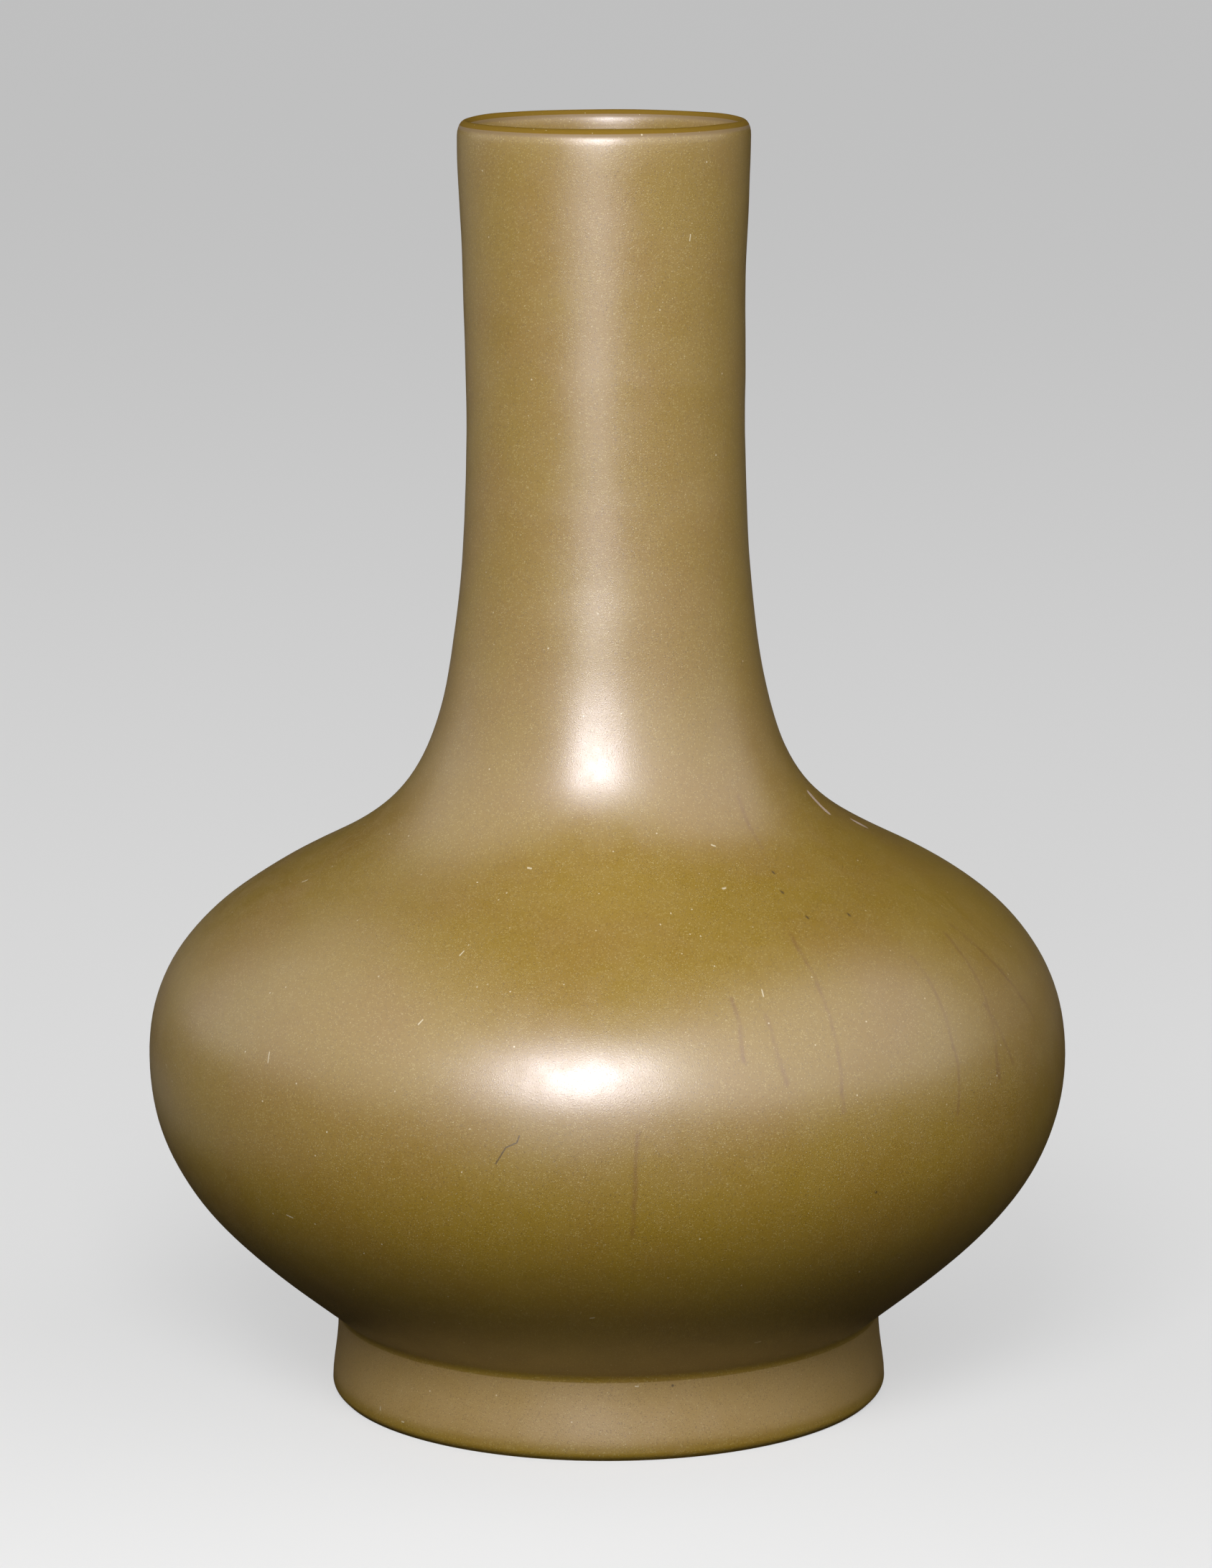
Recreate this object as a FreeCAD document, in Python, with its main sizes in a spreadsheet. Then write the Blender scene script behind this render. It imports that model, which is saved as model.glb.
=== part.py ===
# Water chestnut vase: a squat globular belly, a tall neck with a barely flared mouth and a ring foot.
#
# The potter throws it in three sections and a ring, and lutes them together with slip while they are
# leather hard. The glaze is fused to the joined clay, so each piece has its share of it on. Every
# piece is turned about the vertical axis, and the foot stands on the table at height zero. Lengths
# are in millimetres and angles in degrees.

import FreeCAD, Part

import math
import os

import Sketcher

# Stations are named places on the glazed outside. A rise is the height from one station to the next
# one up, a wall is the thickness there, and an angle is how far the surface there is off upright.
LENGTHS = {
    # slip between the sections
    "slip_seam": 0.8,
    # foot ring
    "foot_rise": 20.2,
    "foot_radius": 72.3,
    "foot_taper": 1.6,
    "foot_wall": 9.8,
    "foot_edge_round": 2.4,
    "foot_hollow_round": 2.5,
    # crease between foot and belly, and the corner under the base
    "crease_fillet": 3.0,
    "base_fillet": 3.0,
    # flank, the lower part of the belly, and the floor inside it
    "flank_rise": 29.8,
    "flank_wall": 7.2,
    "floor_wall": 8.5,
    "floor_inset": 2.5,
    # widest part, where the bowl meets the shoulder
    "belly_rise": 40.0,
    "belly_radius": 118.65,
    "belly_wall": 6.0,
    # sweep, where the shoulder turns from full to hollow
    "sweep_rise": 51.0,
    "sweep_wall": 5.2,
    # root of the neck, where the neck meets the shoulder
    "root_rise": 29.0,
    "root_radius": 46.2,
    "root_wall": 4.6,
    # waist, the narrowest part of the neck
    "waist_rise": 98.0,
    "waist_radius": 35.42,
    "waist_wall": 3.8,
    # collar, below the mouth
    "collar_rise": 47.0,
    "collar_wall": 3.3,
    # mouth, and the oval rounding of its lip
    "lip_rise": 15.0,
    "lip_drop": 4.0,
    "mouth_radius": 37.3,
    "mouth_wall": 3.5,
}
ANGLES = {
    "foot_edge_angle": 45.0,
    "crease_angle": 51.0,
    "flank_angle": 41.1,
    "sweep_angle": 63.1,
    "root_angle": 24.1,
    "collar_angle": 3.2,
}
# How far out four of the stations stand, from the narrower of their neighbours to the wider
PLACE_SHARES = {
    "flank_share": 0.67,
    "sweep_share": 0.449,
    "collar_share": 0.771,
    "lip_share": 0.4,
}
# How far each curve holds the direction of its low and its high station, of the way between the two
PULL_SHARES = {
    "foot_low_share": 0.264,
    "foot_high_share": 0.41,
    "underside_low_share": 0.316,
    "underside_high_share": 0.333,
    "floor_low_share": 0.36,
    "floor_high_share": 0.33,
    "bowl_low_share": 0.366,
    "bowl_high_share": 0.373,
    "shoulder_low_share": 0.41,
    "shoulder_high_share": 0.374,
    "sweep_low_share": 0.398,
    "sweep_high_share": 0.382,
    "neck_low_share": 0.27,
    "neck_high_share": 0.192,
    "flare_low_share": 0.279,
    "flare_high_share": 0.3,
    "mouth_low_share": 0.45,
    "mouth_high_share": 0.45,
}


class Size:
    """A size with its value and the expression that ties it to the sheet."""

    def __init__(self, value, text):
        self.value = value
        self.text = text

    def __add__(self, other):
        return Size(self.value + other.value, f"({self.text} + {other.text})")

    def __sub__(self, other):
        return Size(self.value - other.value, f"({self.text} - {other.text})")

    def __mul__(self, other):
        return Size(self.value * other.value, f"({self.text} * {other.text})")

    def __neg__(self):
        return Size(-self.value, f"(-1 * {self.text})")


def share(number):
    """A plain number, to multiply a size by or to turn to."""
    return Size(number, f"({number})")


def sine(angle):
    return Size(math.sin(math.radians(angle.value)), f"sin({angle.text})")


def cosine(angle):
    return Size(math.cos(math.radians(angle.value)), f"cos({angle.text})")


def tangent(angle):
    return Size(math.tan(math.radians(angle.value)), f"tan({angle.text})")


def diagonal(across, up):
    return Size(math.hypot(across.value, up.value), f"hypot({across.text}; {up.text})")


ZERO = share(0)
HALF = share(0.5)
QUARTER = share(0.25)
ROUND_SHARE = share(4 / 3)
FACING_OUT = ZERO
FACING_UP = share(90)
FACING_DOWN = share(-90)
FACING_AXIS = share(180)
EVEN_SHARE = 1.0

# The sketcher's own numbers for the parts of an edge, and for the two axes
START, END, CENTRE = range(1, 4)
LEVEL_AXIS, UPRIGHT_AXIS = range(-1, -3, -1)


def sheet_of_sizes(doc):
    """The sheet with every driving size under its own name, and those sizes for the outline."""
    sheet = doc.addObject("Spreadsheet::Sheet", "Sizes")
    named = {}
    driving = {**LENGTHS, **ANGLES, **PLACE_SHARES, **PULL_SHARES}
    for row, (name, value) in enumerate(driving.items(), start=1):
        sheet.set(f"A{row}", name)
        sheet.set(f"B{row}", str(value))
        sheet.setAlias(f"B{row}", name)
        named[name] = Size(value, f"Sizes.{name}")
    return named


class Station:
    """A place on the outline: its radius, its height and the way that the surface faces."""

    def __init__(self, radius, height, slope):
        self.radius = radius
        self.height = height
        self.slope = slope

    def behind(self, depth):
        """The place straight behind this one, on the same slope."""
        radius = self.radius - depth * cosine(self.slope)
        height = self.height - depth * sine(self.slope)
        return Station(radius, height, self.slope)

    def along(self, distance):
        """The place up the outline, in its own straight direction."""
        radius = self.radius - distance * sine(self.slope)
        height = self.height + distance * cosine(self.slope)
        return Station(radius, height, self.slope)

    def way_to(self, other):
        return diagonal(other.radius - self.radius, other.height - self.height)

    def point(self):
        return (self.radius, self.height)


class Stretch:
    """A straight part of the outline from one station up to the next."""

    def __init__(self, low, high):
        self.low, self.high = low, high

    def points(self):
        return [self.low.point(), self.high.point()]


class Curve(Stretch):
    """A part of the outline that leaves and meets its two stations in their own directions."""

    def __init__(self, low, high, low_pull, high_pull):
        super().__init__(low, high)
        self.low_pull, self.high_pull = low_pull, high_pull

    def points(self):
        near = self.low.along(self.low_pull)
        far = self.high.along(-self.high_pull)
        return [place.point() for place in (self.low, near, far, self.high)]


def flowing(low, high, name):
    """A curve between two stations, with the two pull shares of this name."""
    way = low.way_to(high)
    return Curve(low, high, way * size[f"{name}_low_share"], way * size[f"{name}_high_share"])


def rounded(low, high, radius):
    """A round curve between two stations. A hollow one has a radius below zero."""
    pull = radius * ROUND_SHARE * tangent((high.slope - low.slope) * QUARTER)
    return Curve(low, high, pull, pull)


def quarter_oval(low, high, low_way, high_way):
    """A quarter of an oval between two stations, each with how far its own direction runs."""
    pull_share = ROUND_SHARE * tangent(FACING_UP * QUARTER)
    return Curve(low, high, low_way * pull_share, high_way * pull_share)


class Profile:
    """A closed half section. Each edge is a list of two points, or of a curve's four."""

    def __init__(self, start):
        self.start = start
        self.edges = []

    def line_to(self, *points):
        for point in points:
            here = self.edges[-1][-1] if self.edges else self.start
            self.edges.append([here, point])

    def rise(self, stretches):
        self.edges += [stretch.points() for stretch in stretches]

    def fall(self, stretches):
        self.edges += [stretch.points()[::-1] for stretch in reversed(stretches)]


def drawn(point):
    return FreeCAD.Vector(point[0].value, point[1].value, 0)


def edge_geometry(points):
    """A straight edge through two points, or a cubic curve through four control points."""
    places = [drawn(point) for point in points]
    if len(places) == 2:
        return Part.LineSegment(*places)
    curve = Part.BSplineCurve()
    curve.buildFromPolesMultsKnots(places, [4, 4], [0.0, 1.0], False, 3)
    return curve


class Ties:
    """The constraints of a sketch, with the expressions that bind them to the sheet."""

    def __init__(self, sketch):
        self.sketch = sketch
        self.constraints = []
        self.expressions = {}

    def add(self, *terms):
        self.constraints.append(Sketcher.Constraint(*terms))

    def hold(self, edge, end, point):
        """Holds a point at its radius and height, or on the axis or the table where one is zero."""
        ways = (("DistanceX", UPRIGHT_AXIS), ("DistanceY", LEVEL_AXIS))
        for (kind, axis), amount in zip(ways, point):
            if amount is ZERO:
                self.add("PointOnObject", edge, end, axis)
                continue
            self.expressions[len(self.constraints)] = amount.text
            self.add(kind, LEVEL_AXIS, START, edge, end, amount.value)

    def hold_poles(self, edge, points):
        """Ties a ring to each control point of a curve, and holds the two between its ends."""
        aligned = "InternalAlignment:Sketcher::BSplineControlPoint"
        facing = FreeCAD.Vector(0, 0, 1)
        rings = [Part.Circle(drawn(point), facing, EVEN_SHARE) for point in points]
        numbers = self.sketch.addGeometry(rings, True)
        for pole, ring in enumerate(numbers):
            self.add(aligned, ring, CENTRE, edge, pole)
        self.add("Weight", numbers[0], EVEN_SHARE)
        for ring in numbers[1:]:
            self.add("Equal", numbers[0], ring)
        for ring, point in zip(numbers[1:3], points[1:3]):
            self.hold(ring, CENTRE, point)

    def fasten(self):
        self.sketch.addConstraint(self.constraints)
        for number, text in self.expressions.items():
            self.sketch.setExpression(f"Constraints[{number}]", text)


def turned(label, profile):
    """A piece of its own: draws the profile upright, closes it and turns it about the axis."""
    profile.line_to(profile.start)
    piece = doc.addObject("PartDesign::Body", label)
    piece.Label = label
    piece.Placement = FreeCAD.Placement()
    sketch = piece.newObject("Sketcher::SketchObject", f"{label}_profile")
    planes = [f for f in piece.Origin.OriginFeatures if f.Role == "XZ_Plane"]
    sketch.AttachmentSupport = (planes[0], [""])
    sketch.MapMode = "FlatFace"
    ties = Ties(sketch)
    edges = sketch.addGeometry([edge_geometry(p) for p in profile.edges], False)
    for edge, following, points in zip(edges, edges[1:] + edges[:1], profile.edges):
        ties.add("Coincident", edge, END, following, START)
        ties.hold(edge, END, points[-1])
        if len(points) == 4:
            ties.hold_poles(edge, points)
    ties.fasten()
    turning = piece.newObject("PartDesign::Revolution", f"{label}_turning")
    turning.Profile = sketch
    turning.ReferenceAxis = (sketch, ["V_Axis"])
    turning.Angle = 360
    sketch.Visibility = False
    return piece


doc = FreeCAD.newDocument("water_chestnut_vase")
size = sheet_of_sizes(doc)
doc.recompute()
seam_half = size["slip_seam"] * HALF


def between(narrow, wide, place):
    """A radius at a share of the way from one radius out to another."""
    return narrow + (wide - narrow) * place


# Stations of the foot
foot_edge_radius = size["foot_radius"] - size["foot_edge_round"]
foot_edge = Station(size["foot_radius"], size["foot_edge_round"], FACING_OUT)
foot_end = Station(foot_edge_radius, size["foot_edge_round"], -size["foot_edge_angle"])
foot_end = foot_end.behind(-size["foot_edge_round"])
foot_top_radius = size["foot_radius"] - size["foot_taper"]
foot_top_height = size["foot_rise"] - size["slip_seam"]
foot_top = Station(foot_top_radius, foot_top_height, FACING_OUT)
foot_hollow_radius = size["foot_radius"] - size["foot_wall"]
crease_low = Station(foot_top_radius, size["foot_rise"], FACING_OUT)
crease_radius = foot_top_radius + size["crease_fillet"]
crease_high = Station(crease_radius, size["foot_rise"], -size["crease_angle"])
crease_high = crease_high.behind(size["crease_fillet"])

# Stations of the belly
flank_radius = between(foot_top_radius, size["belly_radius"], size["flank_share"])
flank_height = size["foot_rise"] + size["flank_rise"]
flank = Station(flank_radius, flank_height, -size["flank_angle"])
belly_height = flank_height + size["belly_rise"]
belly = Station(size["belly_radius"], belly_height, FACING_OUT)
belly_low, belly_high = belly.along(-seam_half), belly.along(seam_half)
sweep_radius = between(size["root_radius"], size["belly_radius"], size["sweep_share"])
sweep_height = belly_height + size["sweep_rise"]
sweep = Station(sweep_radius, sweep_height, size["sweep_angle"])

# Stations of the neck
root_height = sweep_height + size["root_rise"]
root = Station(size["root_radius"], root_height, size["root_angle"])
root_low, root_high = root.along(-seam_half), root.along(seam_half)
waist_height = root_height + size["waist_rise"]
waist = Station(size["waist_radius"], waist_height, FACING_OUT)
collar_radius = between(size["waist_radius"], size["mouth_radius"], size["collar_share"])
collar_height = waist_height + size["collar_rise"]
collar = Station(collar_radius, collar_height, -size["collar_angle"])
lip_height = collar_height + size["lip_rise"]
mouth_height = lip_height - size["lip_drop"]
mouth_inside_radius = size["mouth_radius"] - size["mouth_wall"]
lip_radius = between(mouth_inside_radius, size["mouth_radius"], size["lip_share"])
lip_outward = size["mouth_radius"] - lip_radius
lip_inward = lip_radius - mouth_inside_radius
mouth = Station(size["mouth_radius"], mouth_height, FACING_OUT)
lip_crest = Station(lip_radius, lip_height, FACING_UP)
lip_inside = Station(mouth_inside_radius, mouth_height, FACING_AXIS)

# Stations of the inner face, each a wall behind its own on the outside
floor_radius = foot_hollow_radius - size["floor_inset"]
floor_height = size["foot_rise"] + size["floor_wall"]
floor = Station(floor_radius, floor_height, FACING_DOWN)
flank_inside = flank.behind(size["flank_wall"])
belly_inside_low = belly_low.behind(size["belly_wall"])
belly_inside_high = belly_high.behind(size["belly_wall"])
sweep_inside = sweep.behind(size["sweep_wall"])
root_inside_low = root_low.behind(size["root_wall"])
root_inside_high = root_high.behind(size["root_wall"])
waist_inside = waist.behind(size["waist_wall"])
collar_inside = collar.behind(size["collar_wall"])
mouth_inside = mouth.behind(size["mouth_wall"])

# Where the bowl's underside, run straight on below the crease, meets its flat seat on the ring
underside_drop = crease_high.height - size["foot_rise"]
seat_radius = crease_high.radius - underside_drop * tangent(size["crease_angle"])
seat_edge = (seat_radius, size["foot_rise"])

# The seams of slip as they show outside
foot_seam = Stretch(foot_top, crease_low)
belly_seam = Stretch(belly_low, belly_high)
root_seam = Stretch(root_low, root_high)


def neck_section():
    """The thrown neck, from its luted root to the lip, rounded to an oval."""
    profile = Profile(root_high.point())
    profile.rise([
        flowing(root_high, waist, "neck"),
        flowing(waist, collar, "flare"),
        flowing(collar, mouth, "mouth"),
        quarter_oval(mouth, lip_crest, size["lip_drop"], lip_outward),
        quarter_oval(lip_crest, lip_inside, lip_inward, size["lip_drop"]),
    ])
    profile.fall([
        flowing(root_inside_high, waist_inside, "neck"),
        flowing(waist_inside, collar_inside, "flare"),
        flowing(collar_inside, mouth_inside, "mouth"),
    ])
    return turned("neck_section", profile)


def shoulder_section():
    """The thrown upper half of the belly, full below and swept up to the root of the neck."""
    profile = Profile(belly_high.point())
    profile.rise([
        flowing(belly_high, sweep, "shoulder"),
        flowing(sweep, root_low, "sweep"),
    ])
    profile.line_to(root_inside_low.point())
    profile.fall([
        flowing(belly_inside_high, sweep_inside, "shoulder"),
        flowing(sweep_inside, root_inside_low, "sweep"),
    ])
    return turned("shoulder_section", profile)


def bowl_section():
    """The thrown lower half of the belly with its thick floor, cut flat to sit on the foot ring."""
    profile = Profile((ZERO, size["foot_rise"]))
    profile.line_to(seat_edge, crease_high.point())
    profile.rise([
        flowing(crease_high, flank, "underside"),
        flowing(flank, belly_low, "bowl"),
    ])
    profile.line_to(belly_inside_low.point())
    profile.fall([
        flowing(floor, flank_inside, "floor"),
        flowing(flank_inside, belly_inside_low, "bowl"),
    ])
    profile.line_to((ZERO, floor_height))
    return turned("bowl_section", profile)


def foot_ring():
    """The ring foot: bulged outside, upright inside, with a bare rounded and chamfered rim."""
    rim_round = size["foot_hollow_round"]
    chamfer = foot_end.height * tangent(size["foot_edge_angle"])
    rim_outside = (foot_end.radius - chamfer, ZERO)
    rim_inside = Station(foot_hollow_radius, rim_round, -FACING_AXIS)
    rim_low = Station(foot_hollow_radius + rim_round, ZERO, FACING_DOWN)
    profile = Profile(rim_inside.point())
    profile.rise([rounded(rim_inside, rim_low, rim_round)])
    profile.line_to(rim_outside, foot_end.point())
    profile.rise([
        rounded(foot_end, foot_edge, size["foot_edge_round"]),
        flowing(foot_edge, foot_top, "foot"),
    ])
    profile.line_to((foot_hollow_radius, foot_top_height))
    return turned("foot_ring", profile)


def foot_luting_slip():
    """The bed of slip under the bowl, wiped out to a fillet in the crease and under the base."""
    fillet = size["base_fillet"]
    under_base = Station(foot_hollow_radius - fillet, size["foot_rise"], FACING_DOWN)
    in_ring = Station(foot_hollow_radius, size["foot_rise"] - fillet, -FACING_AXIS)
    profile = Profile(under_base.point())
    profile.rise([rounded(under_base, in_ring, -fillet)])
    profile.line_to((foot_hollow_radius, foot_top_height), foot_top.point())
    profile.rise([foot_seam, rounded(crease_low, crease_high, -size["crease_fillet"])])
    profile.line_to(seat_edge)
    return turned("foot_luting_slip", profile)


def seam_of_slip(label, seam, wall):
    """A thin ring of slip between two sections, as thick through as their walls."""
    profile = Profile(seam.low.point())
    profile.rise([seam])
    profile.line_to(seam.high.behind(wall).point(), seam.low.behind(wall).point())
    return turned(label, profile)


pieces = [
    neck_section(),
    shoulder_section(),
    bowl_section(),
    foot_ring(),
    seam_of_slip("neck_luting_slip", root_seam, size["root_wall"]),
    seam_of_slip("belly_luting_slip", belly_seam, size["belly_wall"]),
    foot_luting_slip(),
]
doc.recompute()

for thing in doc.Objects:
    if {"Invalid", "Error"} & set(thing.State):
        raise RuntimeError(f"{thing.Label} did not build: {thing.State}")
for piece in pieces:
    shape = piece.Shape
    if shape.isNull() or not shape.isValid() or len(shape.Solids) != 1:
        raise RuntimeError(f"{piece.Label} is not one sound solid")

os.makedirs("parts", exist_ok=True)
for piece in pieces:
    piece.Shape.exportStep(f"parts/{piece.Label}.step")
    print(f"{piece.Label}: {piece.Shape.Volume:.0f} cubic millimetres")
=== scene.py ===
"""The looks of a water chestnut vase: a thrown pot in a satin teadust glaze, on a pale floor.

Everything is in metres with +Z up, and the vase stands on the floor at height zero. The camera looks
along +Y. Azimuths on the pot are in degrees from the front, growing to the right.
"""

import math

import bpy
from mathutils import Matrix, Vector


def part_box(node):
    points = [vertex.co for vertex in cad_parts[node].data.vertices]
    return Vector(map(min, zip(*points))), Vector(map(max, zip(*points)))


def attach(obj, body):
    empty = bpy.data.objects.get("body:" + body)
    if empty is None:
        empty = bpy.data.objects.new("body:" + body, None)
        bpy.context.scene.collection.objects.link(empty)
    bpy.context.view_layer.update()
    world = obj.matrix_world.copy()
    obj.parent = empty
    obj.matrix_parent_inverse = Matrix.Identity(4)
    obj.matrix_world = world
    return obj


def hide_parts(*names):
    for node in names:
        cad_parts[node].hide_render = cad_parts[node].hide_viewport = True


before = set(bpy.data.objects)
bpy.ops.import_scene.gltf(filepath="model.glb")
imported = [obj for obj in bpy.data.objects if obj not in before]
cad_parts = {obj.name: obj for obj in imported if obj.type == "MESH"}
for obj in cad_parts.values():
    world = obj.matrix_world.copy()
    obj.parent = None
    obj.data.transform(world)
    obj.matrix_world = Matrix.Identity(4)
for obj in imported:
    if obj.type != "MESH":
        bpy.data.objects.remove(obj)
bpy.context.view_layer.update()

MM = 0.001
BODY_NODES = (
    "neck_section",
    "shoulder_section",
    "bowl_section",
    "neck_luting_slip",
    "belly_luting_slip",
)
FOOT_NODES = ("foot_ring", "foot_luting_slip")


# Outline of the pot. Places that the solids show are read from their boxes.

def middle_height(node):
    low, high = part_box(node)
    return (low.z + high.z) / 2


foot_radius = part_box("foot_ring")[1].x
foot_top_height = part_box("foot_ring")[1].z
base_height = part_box("bowl_section")[0].z
belly_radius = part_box("belly_luting_slip")[1].x
belly_height = middle_height("belly_luting_slip")
root_radius = (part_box("neck_luting_slip")[1].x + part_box("neck_section")[1].x) / 2
root_height = middle_height("neck_luting_slip")
lip_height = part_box("neck_section")[1].z

FOOT_TAPER = 1.6 * MM
FOOT_WALL = 9.8 * MM
FOOT_EDGE_ROUND = 2.4 * MM
FOOT_EDGE_ANGLE = 45
RIM_ROUND = 2.5 * MM
CREASE_FILLET = 3.0 * MM
CREASE_ANGLE = 51
FLANK_RISE = 29.8 * MM
FLANK_ANGLE = 41.1
FLANK_SHARE = 0.67
SWEEP_RISE = 51.0 * MM
SWEEP_ANGLE = 63.1
SWEEP_SHARE = 0.449
ROOT_ANGLE = 24.1
WAIST_RISE = 98.0 * MM
WAIST_RADIUS = 35.42 * MM
COLLAR_RISE = 47.0 * MM
COLLAR_ANGLE = 3.2
COLLAR_SHARE = 0.771
MOUTH_RADIUS = 37.3 * MM
FLOOR_WALL = 8.5 * MM
FLOOR_INSET = 2.5 * MM
FLANK_WALL = 7.2 * MM
BELLY_WALL = 6.0 * MM
SWEEP_WALL = 5.2 * MM
ROOT_WALL = 4.6 * MM
WAIST_WALL = 3.8 * MM
COLLAR_WALL = 3.3 * MM
MOUTH_WALL = 3.5 * MM
LIP_DROP = 4.0 * MM
LIP_SHARE = 0.4

# How far each curve holds the direction of its low and its high end, as shares of the way between them
FOOT_SHARES = (0.264, 0.41)
UNDERSIDE_SHARES = (0.316, 0.333)
FLOOR_SHARES = (0.36, 0.33)
BOWL_SHARES = (0.366, 0.373)
SHOULDER_SHARES = (0.41, 0.374)
SWEEP_SHARES = (0.398, 0.382)
NECK_SHARES = (0.27, 0.192)
FLARE_SHARES = (0.279, 0.3)
MOUTH_SHARES = (0.45, 0.45)
ROUND_SHARE = 4 / 3
THIRD_SHARE = 1 / 3

FACING_OUT = 0
FACING_UP = 90
FACING_DOWN = -90
FACING_AXIS = 180

STEP_LENGTH = 2.5 * MM
CURVE_STEPS = 6
TURN_STEPS = 256
MERGE_REACH = 0.02 * MM
SHARP_EDGE = math.radians(40)


class Station:
    """A place on the outline: its radius, its height and how far the surface leans off upright."""

    def __init__(self, radius, height, slope=FACING_OUT):
        self.radius, self.height, self.slope = radius, height, slope

    def behind(self, depth):
        lean = math.radians(self.slope)
        radius = self.radius - depth * math.cos(lean)
        return Station(radius, self.height - depth * math.sin(lean), self.slope)

    def along(self, distance):
        lean = math.radians(self.slope)
        radius = self.radius - distance * math.sin(lean)
        return Station(radius, self.height + distance * math.cos(lean), self.slope)

    def place(self):
        return Vector((self.radius, 0, self.height))

    def way_to(self, other):
        return (other.place() - self.place()).length


def flowing(low, high, shares):
    """The four control places of a curve that leaves and meets two stations in their own directions."""
    way = low.way_to(high)
    return [s.place() for s in (low, low.along(way * shares[0]), high.along(-way * shares[1]), high)]


def rounded(low, high, radius):
    """A quarter round or less between two stations. A hollow one has a radius below zero."""
    pull = radius * ROUND_SHARE * math.tan(math.radians(high.slope - low.slope) / 4)
    return [s.place() for s in (low, low.along(pull), high.along(-pull), high)]


def quarter_oval(low, high, low_way, high_way):
    """A quarter of an oval between two stations, each with how far its own direction runs."""
    share = ROUND_SHARE * math.tan(math.radians(FACING_UP) / 4)
    return [s.place() for s in (low, low.along(low_way * share), high.along(-high_way * share), high)]


def straight(low, high):
    start, end = low.place(), high.place()
    return [start, start.lerp(end, THIRD_SHARE), end.lerp(start, THIRD_SHARE), end]


def fallen(curves):
    """The same curves, run from the top down."""
    return [curve[::-1] for curve in reversed(curves)]


foot_hollow_radius = foot_radius - FOOT_WALL
foot_top_radius = foot_radius - FOOT_TAPER
foot_edge = Station(foot_radius, FOOT_EDGE_ROUND)
edge_middle = Station(foot_radius - FOOT_EDGE_ROUND, FOOT_EDGE_ROUND, -FOOT_EDGE_ANGLE)
foot_end = edge_middle.behind(-FOOT_EDGE_ROUND)
foot_top = Station(foot_top_radius, foot_top_height)
crease_low = Station(foot_top_radius, base_height)
crease_high = Station(foot_top_radius + CREASE_FILLET, base_height, -CREASE_ANGLE).behind(CREASE_FILLET)
flank_radius = foot_top_radius + (belly_radius - foot_top_radius) * FLANK_SHARE
flank = Station(flank_radius, base_height + FLANK_RISE, -FLANK_ANGLE)
belly = Station(belly_radius, belly_height)
sweep_radius = root_radius + (belly_radius - root_radius) * SWEEP_SHARE
sweep = Station(sweep_radius, belly_height + SWEEP_RISE, SWEEP_ANGLE)
root = Station(root_radius, root_height, ROOT_ANGLE)
waist = Station(WAIST_RADIUS, root_height + WAIST_RISE)
collar_radius = WAIST_RADIUS + (MOUTH_RADIUS - WAIST_RADIUS) * COLLAR_SHARE
collar = Station(collar_radius, waist.height + COLLAR_RISE, -COLLAR_ANGLE)
lip_inward = MOUTH_WALL * LIP_SHARE
lip_outward = MOUTH_WALL - lip_inward
mouth = Station(MOUTH_RADIUS, lip_height - LIP_DROP)
lip_crest = Station(MOUTH_RADIUS - lip_outward, lip_height, FACING_UP)
lip_inside = Station(MOUTH_RADIUS - MOUTH_WALL, mouth.height, FACING_AXIS)
floor_edge = Station(foot_hollow_radius - FLOOR_INSET, base_height + FLOOR_WALL, FACING_DOWN)
base_middle = Station(0, base_height)
floor_middle = Station(0, floor_edge.height)


def wall_curves(flank, belly, sweep, root, waist, collar, mouth):
    """The curves from the flank up to the mouth, for the outside or the inside of the wall."""
    return [
        flowing(flank, belly, BOWL_SHARES),
        flowing(belly, sweep, SHOULDER_SHARES),
        flowing(sweep, root, SWEEP_SHARES),
        flowing(root, waist, NECK_SHARES),
        flowing(waist, collar, FLARE_SHARES),
        flowing(collar, mouth, MOUTH_SHARES),
    ]


def body_outline():
    inside = [
        flank.behind(FLANK_WALL),
        belly.behind(BELLY_WALL),
        sweep.behind(SWEEP_WALL),
        root.behind(ROOT_WALL),
        waist.behind(WAIST_WALL),
        collar.behind(COLLAR_WALL),
        mouth.behind(MOUTH_WALL),
    ]
    return [
        straight(base_middle, crease_low),
        rounded(crease_low, crease_high, -CREASE_FILLET),
        flowing(crease_high, flank, UNDERSIDE_SHARES),
        *wall_curves(flank, belly, sweep, root, waist, collar, mouth),
        quarter_oval(mouth, lip_crest, LIP_DROP, lip_outward),
        quarter_oval(lip_crest, lip_inside, lip_inward, LIP_DROP),
        *fallen(wall_curves(*inside)),
        *fallen([flowing(floor_edge, inside[0], FLOOR_SHARES)]),
        straight(floor_edge, floor_middle),
    ]


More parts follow.
